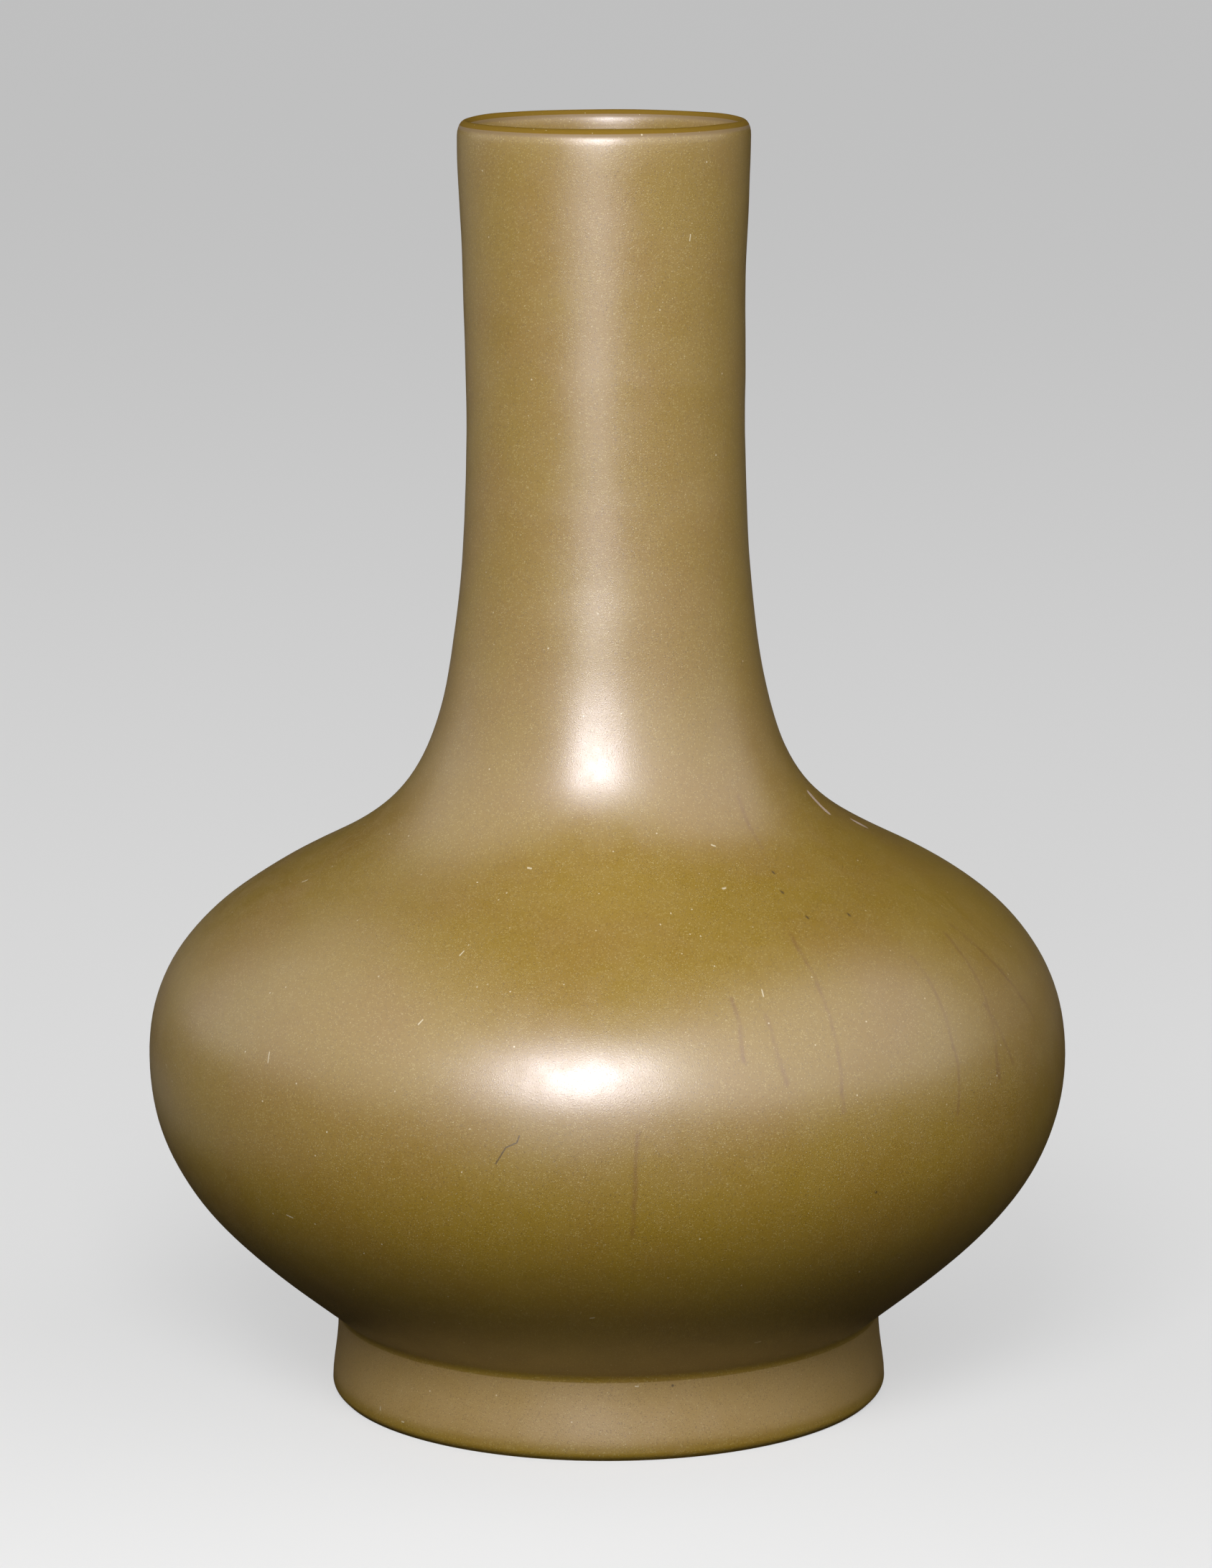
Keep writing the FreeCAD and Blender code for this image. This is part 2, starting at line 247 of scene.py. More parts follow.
def foot_outline():
    rim_outside = Station(foot_end.radius - foot_end.height * math.tan(math.radians(FOOT_EDGE_ANGLE)), 0)
    rim_low = Station(foot_hollow_radius + RIM_ROUND, 0, FACING_DOWN)
    rim_inside = Station(foot_hollow_radius, RIM_ROUND, -FACING_AXIS)
    in_ring = Station(foot_hollow_radius, base_height - CREASE_FILLET, -FACING_AXIS)
    under_base = Station(foot_hollow_radius - CREASE_FILLET, base_height, FACING_DOWN)
    return [
        straight(rim_low, rim_outside),
        straight(rim_outside, foot_end),
        rounded(foot_end, foot_edge, FOOT_EDGE_ROUND),
        flowing(foot_edge, foot_top, FOOT_SHARES),
        straight(foot_top, crease_low),
        straight(crease_low, under_base),
        rounded(under_base, in_ring, -CREASE_FILLET),
        straight(in_ring, rim_inside),
        rounded(rim_inside, rim_low, RIM_ROUND),
    ]


# Potting: an outline is drawn, cut finer where it is long, and turned about the axis

def drawn_outline(name, curves):
    bpy.ops.object.select_all(action="DESELECT")
    bpy.ops.curve.primitive_bezier_curve_add(location=(0, 0, 0))
    outline = bpy.context.object
    outline.name = name
    outline.data.resolution_u = CURVE_STEPS
    outline.data.splines[0].bezier_points.add(len(curves) - 1)
    points = outline.data.splines[0].bezier_points
    for point in points:
        point.handle_left_type = point.handle_right_type = "FREE"
    points[0].handle_left = curves[0][0]
    points[-1].handle_right = curves[-1][3]
    for low, high, (start, near, far, end) in zip(points[:-1], points[1:], curves):
        low.co, low.handle_right = start, near
        high.handle_left, high.co = far, end
    bpy.ops.object.mode_set(mode="EDIT")
    for number in range(len(curves) - 1, -1, -1):
        start, near, far, end = curves[number]
        length = (near - start).length + (far - near).length + (end - far).length
        cuts = round(length / (STEP_LENGTH * CURVE_STEPS)) - 1
        if cuts > 0:
            bpy.ops.curve.select_all(action="DESELECT")
            points = outline.data.splines[0].bezier_points
            points[number].select_control_point = True
            points[number + 1].select_control_point = True
            bpy.ops.curve.subdivide(number_cuts=cuts)
    bpy.ops.object.mode_set(mode="OBJECT")
    bpy.ops.object.convert(target="MESH")
    return bpy.context.object


def thrown(name, curves):
    """A closed pot piece, turned from its outline, with its faces outwards."""
    piece = drawn_outline(name, curves)
    bpy.ops.object.mode_set(mode="EDIT")
    bpy.ops.mesh.select_all(action="SELECT")
    bpy.ops.mesh.spin(steps=TURN_STEPS, angle=math.tau, center=(0, 0, 0), axis=(0, 0, 1))
    bpy.ops.mesh.select_all(action="SELECT")
    bpy.ops.mesh.remove_doubles(threshold=MERGE_REACH)
    bpy.ops.mesh.normals_make_consistent(inside=False)
    bpy.ops.object.mode_set(mode="OBJECT")
    bpy.ops.object.shade_smooth_by_angle(angle=SHARP_EDGE)
    return piece


# The hand of the potter: soft rings from throwing, a slow unevenness, dimples from the fingers and a
# shoulder a little off centre

EVEN_BELOW = 24 * MM
UNEVEN_ABOVE = 40 * MM
THROWING_RINGS = dict(spread=(0.11, 0.11, 0.013), depth=0.16 * MM, layers=1)
SLOW_WAVES = dict(spread=(0.07, 0.07, 0.055), depth=0.36 * MM, layers=0)
DIMPLES = dict(spread=(0.024, 0.024, 0.022), depth=0.48 * MM, layers=0)
BELLY_DIMPLE_SHARE = 0.35
OFF_CENTRE_HEIGHT = 137 * MM
OFF_CENTRE_BY = 1.0 * MM
OFF_CENTRE_REACH = 38 * MM


def thrown_share(height):
    """0 by the crease, where the foot is luted on, and 1 from the flank up."""
    share = (height - EVEN_BELOW) / (UNEVEN_ABOVE - EVEN_BELOW)
    return min(max(share, 0), 1)


def dimple_share(height):
    """Less on the belly than on the neck, where the potter's fingers last closed the clay."""
    share = (height - belly_height) / (root_height - belly_height)
    return thrown_share(height) * max(BELLY_DIMPLE_SHARE, min(share, 1))


def make_uneven(piece, name, spread, depth, layers, share=thrown_share):
    """Moves the surface in and out by a soft cloud pattern whose patches have the given spread."""
    group = piece.vertex_groups.new(name=name)
    for vertex in piece.data.vertices:
        group.add([vertex.index], share(vertex.co.z), "REPLACE")
    bpy.ops.object.select_all(action="DESELECT")
    bpy.ops.object.empty_add(location=(0, 0, 0))
    patch = bpy.context.object
    patch.scale = spread
    pattern = bpy.data.textures.new(name, "CLOUDS")
    pattern.noise_scale = 1
    pattern.noise_depth = layers
    bpy.context.view_layer.update()
    bpy.context.view_layer.objects.active = piece
    change = piece.modifiers.new(name, "DISPLACE")
    change.texture = pattern
    change.texture_coords = "OBJECT"
    change.texture_coords_object = patch
    change.vertex_group = name
    change.strength = depth
    bpy.ops.object.modifier_apply(modifier=name)
    bpy.data.objects.remove(patch)
    bpy.data.textures.remove(pattern)


def set_off_centre(piece, height, push, reach):
    """Moves the wall at one height to the right, fading over the reach above and below it."""
    bpy.ops.object.select_all(action="DESELECT")
    piece.select_set(True)
    bpy.context.view_layer.objects.active = piece
    bpy.ops.object.mode_set(mode="EDIT")
    bpy.ops.mesh.select_all(action="DESELECT")
    bpy.ops.object.mode_set(mode="OBJECT")
    for vertex in piece.data.vertices:
        vertex.select = abs(vertex.co.z - height) < STEP_LENGTH
    bpy.ops.object.mode_set(mode="EDIT")
    bpy.ops.transform.translate(
        value=(push, 0, 0),
        use_proportional_edit=True,
        proportional_edit_falloff="SMOOTH",
        proportional_size=reach,
    )
    bpy.ops.object.mode_set(mode="OBJECT")


def show_hand_of_potter(piece):
    make_uneven(piece, "throwing_rings", **THROWING_RINGS)
    make_uneven(piece, "slow_waves", **SLOW_WAVES)
    make_uneven(piece, "dimples", **DIMPLES, share=dimple_share)
    set_off_centre(piece, OFF_CENTRE_HEIGHT, OFF_CENTRE_BY, OFF_CENTRE_REACH)
    piece.vertex_groups.clear()


# Shader recipes

class Recipe:
    """A node tree written step by step, where each step's result can feed the next."""

    def __init__(self, tree):
        self.tree = tree

    def feed(self, socket, value):
        if isinstance(value, bpy.types.NodeSocket):
            self.tree.links.new(value, socket)
        else:
            socket.default_value = value

    def node(self, kind, inputs=None, **settings):
        step = self.tree.nodes.new(kind)
        for name, value in settings.items():
            setattr(step, name, value)
        for name, value in (inputs or {}).items():
            self.feed(step.inputs[name], value)
        return step

    def sum(self, operation, *values, clamp=False):
        step = self.node("ShaderNodeMath", operation=operation, use_clamp=clamp)
        for socket, value in zip(step.inputs, values):
            self.feed(socket, value)
        return step.outputs[0]

    def vector(self, operation, *values, result="Vector"):
        step = self.node("ShaderNodeVectorMath", operation=operation)
        for socket, value in zip(step.inputs, values):
            self.feed(socket, value)
        return step.outputs[result]

    def ramp(self, value, low, high, to_low=0.0, to_high=1.0, kind="SMOOTHSTEP"):
        """A value between low and high, brought softly to the range wanted."""
        inputs = {
            "Value": value,
            "From Min": low,
            "From Max": high,
            "To Min": to_low,
            "To Max": to_high,
        }
        return self.node("ShaderNodeMapRange", inputs, interpolation_type=kind).outputs["Result"]

    def blend(self, share, first, second):
        step = self.node("ShaderNodeMix", data_type="RGBA")
        self.feed(step.inputs[0], share)
        self.feed(step.inputs[6], first)
        self.feed(step.inputs[7], second)
        return step.outputs[2]

    def noise(self, place, scale, detail=2.0, roughness=0.5):
        inputs = {"Vector": place, "Scale": scale, "Detail": detail, "Roughness": roughness}
        return self.node("ShaderNodeTexNoise", inputs).outputs["Fac"]

    def group(self, tree, **inputs):
        step = self.node("ShaderNodeGroup", node_tree=tree)
        for name, value in inputs.items():
            self.feed(step.inputs[name.replace("_", " ").capitalize()], value)
        return step.outputs


SOCKETS = {"value": "NodeSocketFloat", "vector": "NodeSocketVector", "colour": "NodeSocketColor"}


def new_group(name, inputs, outputs):
    """An empty node group with named sockets: its recipe, its inputs and its outputs."""
    tree = bpy.data.node_groups.new(name, "ShaderNodeTree")
    for way, sockets in (("INPUT", inputs), ("OUTPUT", outputs)):
        for socket, kind in sockets.items():
            tree.interface.new_socket(socket, in_out=way, socket_type=SOCKETS[kind])
    recipe = Recipe(tree)
    given = recipe.node("NodeGroupInput").outputs
    wanted = recipe.node("NodeGroupOutput").inputs
    return recipe, given, wanted


def place_on_pot_group():
    """Turns a place into its azimuth in degrees, and its height and radius in millimetres."""
    outputs = {"Azimuth": "value", "Height": "value", "Radius": "value"}
    recipe, given, wanted = new_group("place_on_pot", {"Place": "vector"}, outputs)
    axes = recipe.node("ShaderNodeSeparateXYZ", {"Vector": given["Place"]}).outputs
    turn = recipe.sum("ARCTAN2", axes["X"], recipe.sum("MULTIPLY", axes["Y"], -1))
    flat = recipe.vector("MULTIPLY", given["Place"], (1 / MM, 1 / MM, 0))
    recipe.feed(wanted["Azimuth"], recipe.sum("DEGREES", turn))
    recipe.feed(wanted["Height"], recipe.sum("DIVIDE", axes["Z"], MM))
    recipe.feed(wanted["Radius"], recipe.vector("LENGTH", flat, result="Value"))
    return recipe.tree


SMALLEST_REACH = 1e-6


def short_mark_group():
    """A mask for a line or a dot on the pot, from one azimuth and height to another, in millimetres."""
    names = ("Azimuth", "Height", "Radius", "Start azimuth", "Start height", "End azimuth", "End height")
    inputs = dict.fromkeys([*names, "Half width", "Soft edge"], "value")
    recipe, given, wanted = new_group("short_mark", inputs, {"Mask": "value"})
    arc = recipe.sum("RADIANS", given["Radius"])

    def from_start(azimuth, height):
        across = recipe.sum("MULTIPLY", recipe.sum("SUBTRACT", azimuth, given["Start azimuth"]), arc)
        up = recipe.sum("SUBTRACT", height, given["Start height"])
        return recipe.node("ShaderNodeCombineXYZ", {"X": across, "Y": up}).outputs[0]

    here = from_start(given["Azimuth"], given["Height"])
    end = from_start(given["End azimuth"], given["End height"])
    reach = recipe.vector("DOT_PRODUCT", end, end, result="Value")
    gone = recipe.vector("DOT_PRODUCT", here, end, result="Value")
    share = recipe.sum("DIVIDE", gone, recipe.sum("MAXIMUM", reach, SMALLEST_REACH), clamp=True)
    nearest = recipe.node("ShaderNodeVectorMath", operation="SCALE")
    recipe.feed(nearest.inputs[0], end)
    recipe.feed(nearest.inputs["Scale"], share)
    off = recipe.vector("DISTANCE", here, nearest.outputs[0], result="Value")
    edge = recipe.sum("ADD", given["Half width"], given["Soft edge"])
    recipe.feed(wanted["Mask"], recipe.ramp(off, given["Half width"], edge, 1.0, 0.0))
    return recipe.tree


# In a crystal's cell: the distances over which its heart fades, and the chances over which it turns light
# or dark
CRYSTAL_HEART = (0.2, 0.62)
LIGHT_ABOVE = 0.68
LIGHT_BAND = 0.22
MORE_LIGHT_WHERE_COARSE = 0.06
DARK_BAND = (0.68, 0.92)
PRICK_HEART_SHARE = 0.4


def teadust_group():
    """The crystals of the glaze: fine light and dark grains, and a little relief."""
    inputs = {"Place": "vector", "Grain": "value", "Coarse": "value"}
    outputs = {"Light": "value", "Dark": "value", "Relief": "value"}
    recipe, given, wanted = new_group("teadust_crystals", inputs, outputs)
    scale = recipe.sum("DIVIDE", 1.0, given["Grain"])
    cells = recipe.node("ShaderNodeTexVoronoi", {"Vector": given["Place"], "Scale": scale})
    chance = recipe.node("ShaderNodeSeparateColor", {"Color": cells.outputs["Color"]}).outputs
    heart = recipe.ramp(cells.outputs["Distance"], *CRYSTAL_HEART, 1.0, 0.0)
    more = recipe.sum("MULTIPLY", given["Coarse"], MORE_LIGHT_WHERE_COARSE)
    light_from = recipe.sum("SUBTRACT", LIGHT_ABOVE, more)
    light = recipe.ramp(chance[0], light_from, recipe.sum("ADD", light_from, LIGHT_BAND))
    dark = recipe.ramp(chance[1], *DARK_BAND)
    recipe.feed(wanted["Light"], recipe.sum("MULTIPLY", light, heart))
    recipe.feed(wanted["Dark"], recipe.sum("MULTIPLY", dark, heart))
    recipe.feed(wanted["Relief"], recipe.sum("MULTIPLY", heart, chance[2]))
    return recipe.tree


def pin_prick_group():
    """Sparse small dots where a bubble broke in the glaze."""
    inputs = {"Place": "vector", "Spacing": "value", "Size": "value"}
    recipe, given, wanted = new_group("pin_pricks", inputs, {"Mask": "value"})
    scale = recipe.sum("DIVIDE", 1.0, given["Spacing"])
    cells = recipe.node("ShaderNodeTexVoronoi", {"Vector": given["Place"], "Scale": scale})
    off = recipe.sum("MULTIPLY", cells.outputs["Distance"], given["Spacing"])
    edge = recipe.sum("DIVIDE", given["Size"], 2.0)
    heart = recipe.sum("MULTIPLY", edge, PRICK_HEART_SHARE)
    recipe.feed(wanted["Mask"], recipe.ramp(off, heart, edge, 1.0, 0.0))
    return recipe.tree


def colour(red, green, blue):
    return (red, green, blue, 1.0)


place_on_pot = place_on_pot_group()
short_mark = short_mark_group()
teadust = teadust_group()
pin_pricks = pin_prick_group()

# Colours of the glaze, as linear light
OLIVE = colour(0.318, 0.197, 0.012)
WARM_OLIVE = colour(0.308, 0.182, 0.014)
LIGHT_GRAIN = colour(0.560, 0.435, 0.160)
DARK_GRAIN = colour(0.130, 0.072, 0.008)
# Brown of the lip's thin glaze, painted darker as shade on the lip's top
THIN_AND_SHADED_BROWN = colour(0.215, 0.125, 0.010)
# Tan of the foot's glaze, painted lighter as a sheen of light on the foot
TAN_WITH_PAINTED_LIGHT = colour(0.420, 0.268, 0.076)
RUN_BROWN = colour(0.210, 0.097, 0.012)
LIGHT_SPARK = colour(0.720, 0.620, 0.360)
PALE_PRICK = colour(0.800, 0.700, 0.480)
DARK_SPECK = colour(0.050, 0.030, 0.014)
PALE_CLAY = colour(0.720, 0.540, 0.410)
RIM_WASH = colour(0.105, 0.052, 0.024)
RIM_CLAY = colour(0.240, 0.128, 0.062)

# Patterns in the glaze: their noise scales, the bands of noise that show, and their strengths
MIDDLE_BAND = (0.3, 0.7)
CLOUD_SCALE = 34.0
CLOUD_BAND = (0.36, 0.66)
PATCH_SCALE = 210.0
PATCH_BAND = (0.4, 0.7)
GRAIN = 0.34 * MM
GRAIN_STRENGTH = 0.6
SPARK_SPACING = 1.8 * MM
SPARK_SIZE = 0.34 * MM
SPARK_STRENGTH = 0.7
PRICK_SPACING = 6.0 * MM
PRICK_SIZE = 0.6 * MM
PRICK_STRENGTH = 0.85
SHEEN_SCALE = 150.0
SHEEN_SPREAD = 0.03
SKIN_SCALE = 420.0
CRYSTAL_RELIEF = 2.2
SKIN_RELIEF = 1.6
GLAZE_RELIEF = 0.006 * MM

GLAZE_ROUGHNESS = 0.41
GLAZE_IOR = 1.8
GLAZE_SHINE = 1.0
LIP_SHINE = 0.1
COAT_SHARE = 0.5
COAT_ROUGHNESS = 0.34
THIN_DULLNESS = 0.3
SHINE_TINT = colour(0.95, 0.90, 1.0)

# Heights in millimetres: how far below its crest the lip's glaze turns thin, its brown painted darker as
# shade, and where the foot's turns tan, its tan painted lighter as a sheen of light
THIN_SHADE_FROM_CREST = 2.5
THIN_SHADE_TO_CREST = 1.5
TAN_AND_LIGHT_BAND = (2.5, 6.0)

RIM_ROUGHNESS = 0.8
RIM_ROUGHNESS_SPREAD = 0.1
RUBBED_SCALE = 120.0
RUBBED_BAND = (0.5, 0.68)
RUBBED_STRENGTH = 0.7
GRIT_SCALE = 1500.0
GRIT_BAND = (0.62, 0.74)
GRIT_STRENGTH = 0.5
GRIT_RELIEF = 0.12 * MM

# Widths of the marks, as half the width and a soft edge in millimetres, and their strengths. The runs sway
# by some degrees of azimuth.
RUN_WIDTH = (0.06, 0.95)
RUN_STRENGTH = (0.24, 0.55)
RUN_SCALE = 180.0
RUN_SWAY = 1.6
RUN_SWAY_SCALE = 90.0
HAIR_WIDTH = (0.05, 0.22)
HAIR_STRENGTH = 0.75
DOT_WIDTH = (0.15, 0.4)
DOT_STRENGTH = 0.7
TICK_WIDTH = (0.06, 0.18)
TICK_STRENGTH = 0.8
CHIP_WIDTH = (0.7, 0.5)

# Marks that time and the kiln left, each from an azimuth and height to another
GLAZE_RUNS = [
    ((30.5, 136), (29, 98)),
    ((48.8, 128), (46.7, 92)),
    ((60, 130), (55, 99)),
    ((63.5, 131), (68, 107)),
    ((55.6, 101), (55.3, 97.5)),
    ((57, 115), (59, 100)),
    ((17, 125), (17, 112)),
    ((21, 121), (21.7, 106)),
    ((42, 163), (40, 152)),
    ((3.5, 96), (2.9, 70)),
]
HAIR = [(-13.1, 88.6), (-11.9, 92.7), (-10.6, 94), (-10.3, 95.7)]
DARK_DOTS = [(37.6, 147), (36, 138.6), (44.4, 137.8), (35.6, 143.4), (33.9, 76.3)]
PALE_TICKS = [
    ((23.8, 145.2), (24.5, 145.3)),
    ((-18.2, 149.6), (-17.3, 149.5)),
    ((26.8, 153.6), (27.6, 153.3)),
    ((-44, 67), (-43, 66.6)),
    ((26, 31.8), (27, 32)),
    ((35.6, 302), (35.9, 303.5)),
    ((-2.6, 45), (-2, 45.2)),
    ((-71.6, 139.2), (-71.0, 139.7)),
    ((-45.8, 105.4), (-46.0, 107.8)),
    ((-24.9, 119.0), (-24.5, 120.0)),
    ((-23.0, 133.0), (-22.7, 133.8)),
    ((21.5, 125.1), (21.6, 126.4)),
]
PALE_DOTS = [
    (-34.0, 127.4),
    (-26.1, 103.9),
    (-20.4, 144.7),
    (-18.4, 127.4),
    (9.2, 139.6),
    (11.6, 141.5),
    (15.4, 137.2),
    (15.9, 131.6),
    (29.8, 127.8),
]
CHIPS = [((79.2, 158.4), (78.4, 154.3)), ((88.6, 149.4), (89.4, 148.6))]
FOOT_DOTS = [(13.1, 19.0)]
FOOT_TICKS = [
    ((-54.0, 5.6), (-54.0, 4.8)),
    ((-46.8, 3.9), (-46.2, 3.9)),
    ((5.4, 19.3), (6.0, 19.2)),
]


class Glaze(Recipe):
    """A glaze recipe in the making, with the place on the pot worked out once."""

    def __init__(self, material):
        material.use_nodes = True
        super().__init__(material.node_tree)
        self.shader = self.tree.nodes["Principled BSDF"]
        self.place = self.node("ShaderNodeTexCoord").outputs["Object"]
        self.on_pot = self.group(place_on_pot, place=self.place)

    def mark(self, start, end, half_width, soft_edge, azimuth=None):
        return self.group(
            short_mark,
            azimuth=azimuth or self.on_pot["Azimuth"],
            height=self.on_pot["Height"],
            radius=self.on_pot["Radius"],
            start_azimuth=start[0],
            start_height=start[1],
            end_azimuth=end[0],
            end_height=end[1],
            half_width=half_width,
            soft_edge=soft_edge,
        )["Mask"]

    def any_of(self, lines, width, azimuth=None):
        """A mask that shows each of the lines."""
        masks = [self.mark(start, end, *width, azimuth) for start, end in lines]
        total = masks[0]
        for mask in masks[1:]:
            total = self.sum("MAXIMUM", total, mask)
        return total

    def tinted(self, base, mask, strength, tone):
        return self.blend(self.sum("MULTIPLY", mask, strength), base, tone)


def teadust_glaze(
    name,
    runs=(),
    hair=(),
    dark_dots=(),
    pale_ticks=(),
    chips=(),
    thin_and_shade_band=None,
    tan_and_light_band=None,
    shine=GLAZE_SHINE,
):
    """Satin olive glaze, full of fine crystals.

    It goes thin, brown and dull over the height band given as thin, its brown painted darker as shade,
    and tan over the one given as tan, its tan painted lighter as a sheen of light.
    """
    material = bpy.data.materials.new(name)
    glaze = Glaze(material)
    clouds = glaze.noise(glaze.place, CLOUD_SCALE, detail=3.0, roughness=0.55)
    base = glaze.blend(glaze.ramp(clouds, *CLOUD_BAND), OLIVE, WARM_OLIVE)
    if tan_and_light_band:
        # Painted light: over this band the foot's glaze is painted tan and lighter, as a sheen of light
        base = glaze.blend(glaze.ramp(glaze.on_pot["Height"], *tan_and_light_band), base, TAN_WITH_PAINTED_LIGHT)
    coarse = glaze.ramp(glaze.noise(glaze.place, PATCH_SCALE), *PATCH_BAND)
    crystals = glaze.group(teadust, place=glaze.place, grain=GRAIN, coarse=coarse)
    base = glaze.tinted(base, crystals["Light"], GRAIN_STRENGTH, LIGHT_GRAIN)
    base = glaze.tinted(base, crystals["Dark"], GRAIN_STRENGTH, DARK_GRAIN)
    sheen = (GLAZE_ROUGHNESS - SHEEN_SPREAD, GLAZE_ROUGHNESS + SHEEN_SPREAD)
    roughness = glaze.ramp(glaze.noise(glaze.place, SHEEN_SCALE), *MIDDLE_BAND, *sheen)
    coat = COAT_SHARE
    if thin_and_shade_band:
        thin = glaze.ramp(glaze.on_pot["Height"], *thin_and_shade_band)
        # Painted shade: here the lip's thin glaze is painted a darker brown
        base = glaze.blend(thin, base, THIN_AND_SHADED_BROWN)
        roughness = glaze.sum("ADD", roughness, glaze.sum("MULTIPLY", thin, THIN_DULLNESS))
        coat = glaze.sum("MULTIPLY", glaze.sum("SUBTRACT", 1.0, thin), COAT_SHARE)
    if runs:
        sway = glaze.sum("SUBTRACT", glaze.noise(glaze.place, RUN_SWAY_SCALE), 0.5)
        azimuth = glaze.sum("ADD", glaze.on_pot["Azimuth"], glaze.sum("MULTIPLY", sway, RUN_SWAY))
        strength = glaze.ramp(glaze.noise(glaze.place, RUN_SCALE), *MIDDLE_BAND, *RUN_STRENGTH)
        base = glaze.tinted(base, glaze.any_of(runs, RUN_WIDTH, azimuth), strength, RUN_BROWN)
    sparks = glaze.group(pin_pricks, place=glaze.place, spacing=SPARK_SPACING, size=SPARK_SIZE)["Mask"]
    base = glaze.tinted(base, sparks, SPARK_STRENGTH, LIGHT_SPARK)
    pricks = glaze.group(pin_pricks, place=glaze.place, spacing=PRICK_SPACING, size=PRICK_SIZE)["Mask"]
    base = glaze.tinted(base, pricks, PRICK_STRENGTH, PALE_PRICK)
    pits = pricks
    if hair:
        strands = glaze.any_of(list(zip(hair, hair[1:])), HAIR_WIDTH)
        base = glaze.tinted(base, strands, HAIR_STRENGTH, DARK_SPECK)
    if dark_dots:
        dots = glaze.any_of([(dot, dot) for dot in dark_dots], DOT_WIDTH)
        base = glaze.tinted(base, dots, DOT_STRENGTH, DARK_SPECK)
    if pale_ticks:
        base = glaze.tinted(base, glaze.any_of(pale_ticks, TICK_WIDTH), TICK_STRENGTH, PALE_PRICK)
    if chips:
        flakes = glaze.any_of(chips, CHIP_WIDTH)
        base = glaze.blend(flakes, base, PALE_CLAY)
        pits = glaze.sum("ADD", pits, flakes)
    skin = glaze.noise(glaze.place, SKIN_SCALE, detail=3.0)
    crystal_relief = glaze.sum("MULTIPLY", crystals["Relief"], CRYSTAL_RELIEF)
    relief = glaze.sum("ADD", crystal_relief, glaze.sum("MULTIPLY", skin, SKIN_RELIEF))
    relief = glaze.sum("SUBTRACT", relief, pits)
    bump = glaze.node("ShaderNodeBump", {"Height": relief, "Strength": 1.0, "Distance": GLAZE_RELIEF})
    settings = {
        "Base Color": base,
        "Roughness": roughness,
        "Normal": bump.outputs["Normal"],
        "IOR": GLAZE_IOR,
        "Specular IOR Level": shine,
        "Specular Tint": SHINE_TINT,
        "Coat Weight": coat,
        "Coat Roughness": COAT_ROUGHNESS,
        "Coat Normal": bump.outputs["Normal"],
    }
    for socket, value in settings.items():
        glaze.feed(glaze.shader.inputs[socket], value)
    return material


def bare_rim(name):
    """The unglazed standing rim: gritty clay under a dark brown wash, rubbed through in places."""
    material = bpy.data.materials.new(name)
    clay = Glaze(material)
    rubbed = clay.ramp(clay.noise(clay.place, RUBBED_SCALE, detail=4.0), *RUBBED_BAND)
    grit = clay.noise(clay.place, GRIT_SCALE)
    base = clay.tinted(RIM_WASH, rubbed, RUBBED_STRENGTH, RIM_CLAY)
    base = clay.blend(clay.ramp(grit, *GRIT_BAND, 0.0, GRIT_STRENGTH), base, PALE_CLAY)
    bump = clay.node("ShaderNodeBump", {"Height": grit, "Strength": 1.0, "Distance": GRIT_RELIEF})
    roughness = clay.ramp(grit, *MIDDLE_BAND, RIM_ROUGHNESS - RIM_ROUGHNESS_SPREAD, RIM_ROUGHNESS)
    clay.feed(clay.shader.inputs["Base Color"], base)
    clay.feed(clay.shader.inputs["Roughness"], roughness)
    clay.feed(clay.shader.inputs["Normal"], bump.outputs["Normal"])
    return material


# The two pieces that show

def glazed_body():
    """Bowl, shoulder and neck under one coat of glaze, inside and out."""
    piece = thrown("glazed_body", body_outline())
    show_hand_of_potter(piece)
    crest = lip_height / MM
    thin_and_shade_band = (crest - THIN_SHADE_FROM_CREST, crest - THIN_SHADE_TO_CREST)
    glaze = teadust_glaze(
        "teadust_glaze_body",
        runs=GLAZE_RUNS,
        hair=HAIR,
        dark_dots=DARK_DOTS,
        pale_ticks=PALE_TICKS + [(dot, dot) for dot in PALE_DOTS],
        chips=CHIPS,
        thin_and_shade_band=thin_and_shade_band,
    )
    piece.data.materials.append(glaze)
    piece.data.materials.append(teadust_glaze("teadust_glaze_lip", thin_and_shade_band=thin_and_shade_band, shine=LIP_SHINE))
    for face in piece.data.polygons:
        if face.center.z > thin_and_shade_band[1] * MM:
            face.material_index = 1
    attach(piece, "root")
    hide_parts(*BODY_NODES)


def glazed_foot():
    """The ring foot, glazed down to its rim and bare where it stands."""
    piece = thrown("glazed_foot", foot_outline())
    glaze = teadust_glaze(
        "teadust_glaze_foot",
        dark_dots=FOOT_DOTS,
        pale_ticks=FOOT_TICKS,
        tan_and_light_band=TAN_AND_LIGHT_BAND,
    )
    piece.data.materials.append(glaze)
    piece.data.materials.append(bare_rim("bare_rim"))
    glaze_ends = foot_end.radius - RIM_ROUND / 2
    for face in piece.data.polygons:
        middle = face.center
        if middle.z < RIM_ROUND and math.hypot(middle.x, middle.y) < glaze_ends:
            face.material_index = 1
    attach(piece, "root")
    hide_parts(*FOOT_NODES)


# The studio: a pale floor, a soft key light over the camera, a big soft light on each side, and weak
# lights low in front, low on the left, on the right and behind each side of the pot

FLOOR_SIZE = 60.0
NEAR_FLOOR_GREY = 0.01
FAR_FLOOR_GREY = 0.3
NEAR_FLOOR = 0.55
FAR_FLOOR = 1.0
FLOOR_SEEN_GREY = 0.34
FLOOR_GLOW = 0.52
FLOOR_ROUGHNESS = 0.9
WORLD_GREY = 0.005
TARGET = Vector((0, 0, 0.16))
UPWARDS = Vector((0, 0, 1))


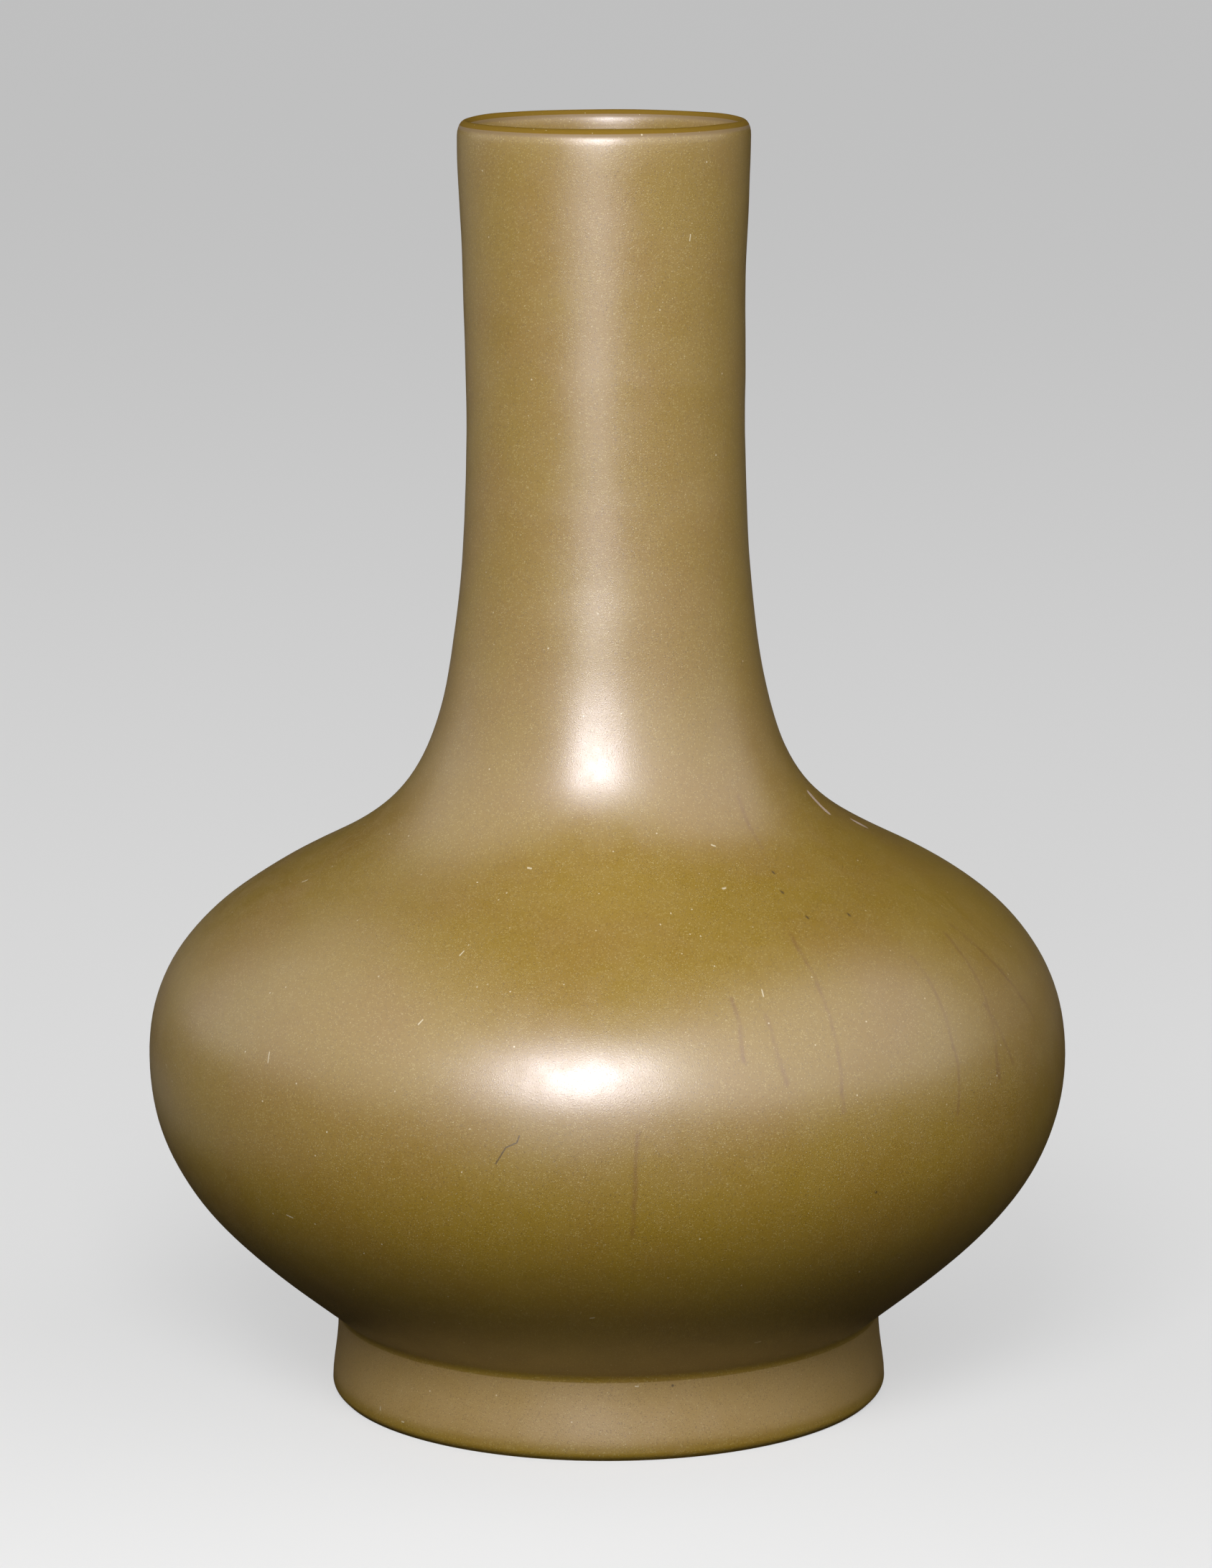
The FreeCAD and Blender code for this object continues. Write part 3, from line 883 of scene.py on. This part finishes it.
def stage_floor():
    """A matt floor with the pot's shadow on it. Close to the pot it throws up little of its light."""
    bpy.ops.object.select_all(action="DESELECT")
    bpy.ops.mesh.primitive_plane_add(size=FLOOR_SIZE, location=(0, 0, 0))
    floor = bpy.context.object
    floor.name = "studio_floor"
    material = bpy.data.materials.new("pale_floor")
    material.use_nodes = True
    recipe = Recipe(material.node_tree)
    seen = recipe.node("ShaderNodeLightPath").outputs["Is Camera Ray"]
    place = recipe.node("ShaderNodeTexCoord").outputs["Object"]
    off = recipe.vector("LENGTH", place, result="Value")
    thrown_up = recipe.ramp(off, NEAR_FLOOR, FAR_FLOOR, NEAR_FLOOR_GREY, FAR_FLOOR_GREY)
    grey = recipe.node("ShaderNodeMix", data_type="FLOAT")
    for number, value in ((0, seen), (2, thrown_up), (3, FLOOR_SEEN_GREY)):
        recipe.feed(grey.inputs[number], value)
    grey = grey.outputs[0]
    tone = recipe.node("ShaderNodeCombineColor", {"Red": grey, "Green": grey, "Blue": grey})
    shader = material.node_tree.nodes["Principled BSDF"]
    recipe.feed(shader.inputs["Base Color"], tone.outputs[0])
    recipe.feed(shader.inputs["Roughness"], FLOOR_ROUGHNESS)
    recipe.feed(shader.inputs["Specular IOR Level"], 0.0)
    recipe.feed(shader.inputs["Emission Color"], colour(1.0, 1.0, 1.0))
    recipe.feed(shader.inputs["Emission Strength"], recipe.sum("MULTIPLY", seen, FLOOR_GLOW))
    floor.data.materials.append(material)


def soft_light(name, azimuth, elevation, distance, size, radiance, facing=None):
    """An area light of a given brightness, aimed at the pot unless it faces another way."""
    turn, lift = math.radians(azimuth), math.radians(elevation)
    way = Vector((math.sin(turn) * math.cos(lift), -math.cos(turn) * math.cos(lift), math.sin(lift)))
    bpy.ops.object.select_all(action="DESELECT")
    bpy.ops.object.light_add(type="AREA", location=TARGET + way * distance)
    lamp = bpy.context.object
    lamp.name = name
    lamp.rotation_euler = (-facing if facing else way).to_track_quat("Z", "Y").to_euler()
    lamp.data.shape = "RECTANGLE"
    lamp.data.size, lamp.data.size_y = size
    lamp.data.energy = radiance * math.pi * size[0] * size[1]


LIGHTS = {
    "key_light": dict(azimuth=-6.5, elevation=28, distance=0.95, size=(0.38, 0.37), radiance=15.0),
    "front_light": dict(azimuth=-8, elevation=-5.5, distance=1.3, size=(0.6, 0.1), radiance=3.2),
    "low_light": dict(
        azimuth=-14, elevation=-6.2, distance=1.45, size=(0.9, 0.9), radiance=1.6, facing=UPWARDS
    ),
    "left_light": dict(azimuth=-79, elevation=36, distance=1.5, size=(3.4, 1.9), radiance=0.68),
    "left_rim_light": dict(azimuth=-128, elevation=5, distance=1.1, size=(0.9, 0.24), radiance=0.2),
    "left_card": dict(
        azimuth=-97, elevation=-20.3, distance=0.45, size=(0.36, 0.6), radiance=0.14, facing=UPWARDS
    ),
    "right_light": dict(azimuth=55, elevation=37, distance=1.5, size=(3.2, 1.9), radiance=0.9),
    "right_fill": dict(azimuth=38, elevation=19, distance=1.4, size=(0.5, 0.5), radiance=0.42),
    "right_rim_light": dict(azimuth=120, elevation=8, distance=1.1, size=(0.8, 0.26), radiance=0.16),
}


def studio_lights():
    for name, settings in LIGHTS.items():
        soft_light(name, **settings)
    world = bpy.data.worlds.new("studio_air")
    bpy.context.scene.world = world
    world.use_nodes = True
    air = world.node_tree.nodes["Background"]
    air.inputs["Color"].default_value = colour(WORLD_GREY, WORLD_GREY, WORLD_GREY)


CAMERA_PLACE = (0.0004, -1.44727, 0.43479)
CAMERA_DOWN = 10.777
CAMERA_ROLL = 0.195
CAMERA_TURN = -0.0145
CAMERA_LENS = 131.26


def photo_camera():
    bpy.ops.object.select_all(action="DESELECT")
    tilt = (math.radians(90 - CAMERA_DOWN), math.radians(CAMERA_ROLL), math.radians(CAMERA_TURN))
    bpy.ops.object.camera_add(location=CAMERA_PLACE, rotation=tilt)
    camera = bpy.context.object
    camera.name = "photo_camera"
    camera.data.lens = CAMERA_LENS
    camera.data.clip_end = FLOOR_SIZE
    bpy.context.scene.camera = camera


glazed_body()
glazed_foot()
stage_floor()
studio_lights()
photo_camera()
bpy.context.scene.view_settings.view_transform = "Standard"

bpy.context.view_layer.update()
